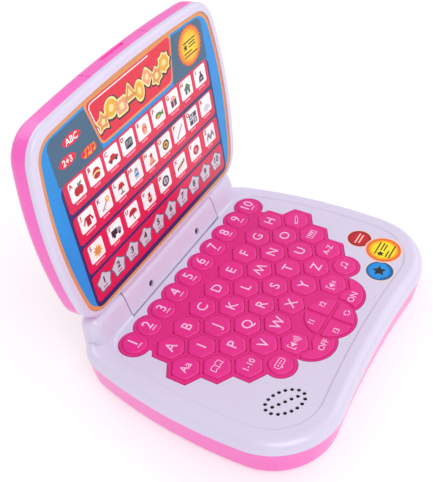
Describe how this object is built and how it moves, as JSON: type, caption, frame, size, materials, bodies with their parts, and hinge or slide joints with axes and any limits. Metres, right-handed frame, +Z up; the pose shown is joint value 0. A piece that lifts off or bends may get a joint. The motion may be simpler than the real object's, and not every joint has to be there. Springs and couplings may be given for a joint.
{
  "type": "toy laptop computer",
  "caption": "Child's toy laptop with a folding lid that holds a printed picture panel, and a rubber keypad of six-sided letter keys, round number keys and larger answer keys.",
  "frame": {"origin": "on the floor plane, under the middle of the bounding box with the lid open", "axes": "+Z up, +X to the right of a child who faces the keys, -Y towards that child, and the lid's hinge axis lies along X"},
  "size_m": [0.228, 0.1942, 0.1958],
  "materials": {
    "pink_shell": "moulded, satin gloss",
    "lilac_shell": "moulded, satin gloss",
    "keypad_rubber": "soft, matt",
    "key_rubber": "soft, satin, with pale printed legends",
    "board": "laminate",
    "speaker_metal": "satin",
    "lead_cover": "flexible",
    "battery": "printed sleeve",
    "spring_steel": "plated",
    "screw_steel": "plated",
    "foot_rubber": "matt",
    "label_print": "printed film",
    "panel_print": "printed film"
  },
  "bodies": {
    "base": {"base_bottom_shell": "pink_shell", "base_top_shell": "lilac_shell", "keypad_sheet": "keypad_rubber", "circuit_board": "board", "speaker": "speaker_metal", "speaker_leads": "lead_cover", "batteries": "battery", "battery_contacts": "spring_steel", "battery_cover": "pink_shell", "case_screws": "screw_steel", "rubber_feet": "foot_rubber", "hinge_pins": "screw_steel", "round_labels": "label_print"},
    "lid": {"lid_front_frame": "lilac_shell", "lid_back_shell": "pink_shell", "lid_catch": "pink_shell", "picture_panel": "panel_print", "lid_screws": "screw_steel"},
    "key_a": {"key_a": "key_rubber"},
    "key_b": {"key_b": "key_rubber"},
    "key_c": {"key_c": "key_rubber"},
    "key_d": {"key_d": "key_rubber"},
    "key_e": {"key_e": "key_rubber"},
    "key_f": {"key_f": "key_rubber"},
    "key_g": {"key_g": "key_rubber"},
    "key_h": {"key_h": "key_rubber"},
    "key_i": {"key_i": "key_rubber"},
    "key_j": {"key_j": "key_rubber"},
    "key_k": {"key_k": "key_rubber"},
    "key_l": {"key_l": "key_rubber"},
    "key_m": {"key_m": "key_rubber"},
    "key_n": {"key_n": "key_rubber"},
    "key_o": {"key_o": "key_rubber"},
    "key_p": {"key_p": "key_rubber"},
    "key_q": {"key_q": "key_rubber"},
    "key_r": {"key_r": "key_rubber"},
    "key_s": {"key_s": "key_rubber"},
    "key_t": {"key_t": "key_rubber"},
    "key_u": {"key_u": "key_rubber"},
    "key_v": {"key_v": "key_rubber"},
    "key_w": {"key_w": "key_rubber"},
    "key_x": {"key_x": "key_rubber"},
    "key_y": {"key_y": "key_rubber"},
    "key_z": {"key_z": "key_rubber"},
    "key_1": {"key_1": "key_rubber"},
    "key_2": {"key_2": "key_rubber"},
    "key_3": {"key_3": "key_rubber"},
    "key_4": {"key_4": "key_rubber"},
    "key_5": {"key_5": "key_rubber"},
    "key_6": {"key_6": "key_rubber"},
    "key_7": {"key_7": "key_rubber"},
    "key_8": {"key_8": "key_rubber"},
    "key_9": {"key_9": "key_rubber"},
    "key_10": {"key_10": "key_rubber"},
    "key_off": {"key_off": "key_rubber"},
    "key_on": {"key_on": "key_rubber"},
    "key_loud": {"key_loud": "key_rubber"},
    "key_soft": {"key_soft": "key_rubber"},
    "keys_mode": {"keys_mode": "key_rubber"},
    "keys_quiz": {"keys_quiz": "key_rubber"}
  },
  "joints": [
    {"name": "hinge_lid", "type": "hinge", "parent": "base", "child": "lid", "pos_m": [0, 0.0712, 0.0434], "axis": [1, 0, 0], "range_deg": [0, 96.5]},
    {"name": "press_key_a", "type": "slide", "parent": "base", "child": "key_a", "axis": [0, 0, -1], "range_m": [0, 0.0012], "stiffness_N_per_m": 500, "springref_m": -0.0005},
    {"name": "press_key_b", "type": "slide", "parent": "base", "child": "key_b", "axis": [0, 0, -1], "range_m": [0, 0.0012], "stiffness_N_per_m": 500, "springref_m": -0.0005},
    {"name": "press_key_c", "type": "slide", "parent": "base", "child": "key_c", "axis": [0, 0, -1], "range_m": [0, 0.0012], "stiffness_N_per_m": 500, "springref_m": -0.0005},
    {"name": "press_key_d", "type": "slide", "parent": "base", "child": "key_d", "axis": [0, 0, -1], "range_m": [0, 0.0012], "stiffness_N_per_m": 500, "springref_m": -0.0005},
    {"name": "press_key_e", "type": "slide", "parent": "base", "child": "key_e", "axis": [0, 0, -1], "range_m": [0, 0.0012], "stiffness_N_per_m": 500, "springref_m": -0.0005},
    {"name": "press_key_f", "type": "slide", "parent": "base", "child": "key_f", "axis": [0, 0, -1], "range_m": [0, 0.0012], "stiffness_N_per_m": 500, "springref_m": -0.0005},
    {"name": "press_key_g", "type": "slide", "parent": "base", "child": "key_g", "axis": [0, 0, -1], "range_m": [0, 0.0012], "stiffness_N_per_m": 500, "springref_m": -0.0005},
    {"name": "press_key_h", "type": "slide", "parent": "base", "child": "key_h", "axis": [0, 0, -1], "range_m": [0, 0.0012], "stiffness_N_per_m": 500, "springref_m": -0.0005},
    {"name": "press_key_i", "type": "slide", "parent": "base", "child": "key_i", "axis": [0, 0, -1], "range_m": [0, 0.0012], "stiffness_N_per_m": 500, "springref_m": -0.0005},
    {"name": "press_key_j", "type": "slide", "parent": "base", "child": "key_j", "axis": [0, 0, -1], "range_m": [0, 0.0012], "stiffness_N_per_m": 500, "springref_m": -0.0005},
    {"name": "press_key_k", "type": "slide", "parent": "base", "child": "key_k", "axis": [0, 0, -1], "range_m": [0, 0.0012], "stiffness_N_per_m": 500, "springref_m": -0.0005},
    {"name": "press_key_l", "type": "slide", "parent": "base", "child": "key_l", "axis": [0, 0, -1], "range_m": [0, 0.0012], "stiffness_N_per_m": 500, "springref_m": -0.0005},
    {"name": "press_key_m", "type": "slide", "parent": "base", "child": "key_m", "axis": [0, 0, -1], "range_m": [0, 0.0012], "stiffness_N_per_m": 500, "springref_m": -0.0005},
    {"name": "press_key_n", "type": "slide", "parent": "base", "child": "key_n", "axis": [0, 0, -1], "range_m": [0, 0.0012], "stiffness_N_per_m": 500, "springref_m": -0.0005},
    {"name": "press_key_o", "type": "slide", "parent": "base", "child": "key_o", "axis": [0, 0, -1], "range_m": [0, 0.0012], "stiffness_N_per_m": 500, "springref_m": -0.0005},
    {"name": "press_key_p", "type": "slide", "parent": "base", "child": "key_p", "axis": [0, 0, -1], "range_m": [0, 0.0012], "stiffness_N_per_m": 500, "springref_m": -0.0005},
    {"name": "press_key_q", "type": "slide", "parent": "base", "child": "key_q", "axis": [0, 0, -1], "range_m": [0, 0.0012], "stiffness_N_per_m": 500, "springref_m": -0.0005},
    {"name": "press_key_r", "type": "slide", "parent": "base", "child": "key_r", "axis": [0, 0, -1], "range_m": [0, 0.0012], "stiffness_N_per_m": 500, "springref_m": -0.0005},
    {"name": "press_key_s", "type": "slide", "parent": "base", "child": "key_s", "axis": [0, 0, -1], "range_m": [0, 0.0012], "stiffness_N_per_m": 500, "springref_m": -0.0005},
    {"name": "press_key_t", "type": "slide", "parent": "base", "child": "key_t", "axis": [0, 0, -1], "range_m": [0, 0.0012], "stiffness_N_per_m": 500, "springref_m": -0.0005},
    {"name": "press_key_u", "type": "slide", "parent": "base", "child": "key_u", "axis": [0, 0, -1], "range_m": [0, 0.0012], "stiffness_N_per_m": 500, "springref_m": -0.0005},
    {"name": "press_key_v", "type": "slide", "parent": "base", "child": "key_v", "axis": [0, 0, -1], "range_m": [0, 0.0012], "stiffness_N_per_m": 500, "springref_m": -0.0005},
    {"name": "press_key_w", "type": "slide", "parent": "base", "child": "key_w", "axis": [0, 0, -1], "range_m": [0, 0.0012], "stiffness_N_per_m": 500, "springref_m": -0.0005},
    {"name": "press_key_x", "type": "slide", "parent": "base", "child": "key_x", "axis": [0, 0, -1], "range_m": [0, 0.0012], "stiffness_N_per_m": 500, "springref_m": -0.0005},
    {"name": "press_key_y", "type": "slide", "parent": "base", "child": "key_y", "axis": [0, 0, -1], "range_m": [0, 0.0012], "stiffness_N_per_m": 500, "springref_m": -0.0005},
    {"name": "press_key_z", "type": "slide", "parent": "base", "child": "key_z", "axis": [0, 0, -1], "range_m": [0, 0.0012], "stiffness_N_per_m": 500, "springref_m": -0.0005},
    {"name": "press_key_1", "type": "slide", "parent": "base", "child": "key_1", "axis": [0, 0, -1], "range_m": [0, 0.0012], "stiffness_N_per_m": 500, "springref_m": -0.0005},
    {"name": "press_key_2", "type": "slide", "parent": "base", "child": "key_2", "axis": [0, 0, -1], "range_m": [0, 0.0012], "stiffness_N_per_m": 500, "springref_m": -0.0005},
    {"name": "press_key_3", "type": "slide", "parent": "base", "child": "key_3", "axis": [0, 0, -1], "range_m": [0, 0.0012], "stiffness_N_per_m": 500, "springref_m": -0.0005},
    {"name": "press_key_4", "type": "slide", "parent": "base", "child": "key_4", "axis": [0, 0, -1], "range_m": [0, 0.0012], "stiffness_N_per_m": 500, "springref_m": -0.0005},
    {"name": "press_key_5", "type": "slide", "parent": "base", "child": "key_5", "axis": [0, 0, -1], "range_m": [0, 0.0012], "stiffness_N_per_m": 500, "springref_m": -0.0005},
    {"name": "press_key_6", "type": "slide", "parent": "base", "child": "key_6", "axis": [0, 0, -1], "range_m": [0, 0.0012], "stiffness_N_per_m": 500, "springref_m": -0.0005},
    {"name": "press_key_7", "type": "slide", "parent": "base", "child": "key_7", "axis": [0, 0, -1], "range_m": [0, 0.0012], "stiffness_N_per_m": 500, "springref_m": -0.0005},
    {"name": "press_key_8", "type": "slide", "parent": "base", "child": "key_8", "axis": [0, 0, -1], "range_m": [0, 0.0012], "stiffness_N_per_m": 500, "springref_m": -0.0005},
    {"name": "press_key_9", "type": "slide", "parent": "base", "child": "key_9", "axis": [0, 0, -1], "range_m": [0, 0.0012], "stiffness_N_per_m": 500, "springref_m": -0.0005},
    {"name": "press_key_10", "type": "slide", "parent": "base", "child": "key_10", "axis": [0, 0, -1], "range_m": [0, 0.0012], "stiffness_N_per_m": 500, "springref_m": -0.0005},
    {"name": "press_key_off", "type": "slide", "parent": "base", "child": "key_off", "axis": [0, 0, -1], "range_m": [0, 0.0012], "stiffness_N_per_m": 500, "springref_m": -0.0005},
    {"name": "press_key_on", "type": "slide", "parent": "base", "child": "key_on", "axis": [0, 0, -1], "range_m": [0, 0.0012], "stiffness_N_per_m": 500, "springref_m": -0.0005},
    {"name": "press_key_loud", "type": "slide", "parent": "base", "child": "key_loud", "axis": [0, 0, -1], "range_m": [0, 0.0012], "stiffness_N_per_m": 500, "springref_m": -0.0005},
    {"name": "press_key_soft", "type": "slide", "parent": "base", "child": "key_soft", "axis": [0, 0, -1], "range_m": [0, 0.0012], "stiffness_N_per_m": 500, "springref_m": -0.0005},
    {"name": "press_keys_mode", "type": "slide", "parent": "base", "child": "keys_mode", "axis": [0, 0, -1], "range_m": [0, 0.0012], "stiffness_N_per_m": 4000, "springref_m": -0.0005},
    {"name": "press_keys_quiz", "type": "slide", "parent": "base", "child": "keys_quiz", "axis": [0, 0, -1], "range_m": [0, 0.0012], "stiffness_N_per_m": 2000, "springref_m": -0.0005}
  ]
}
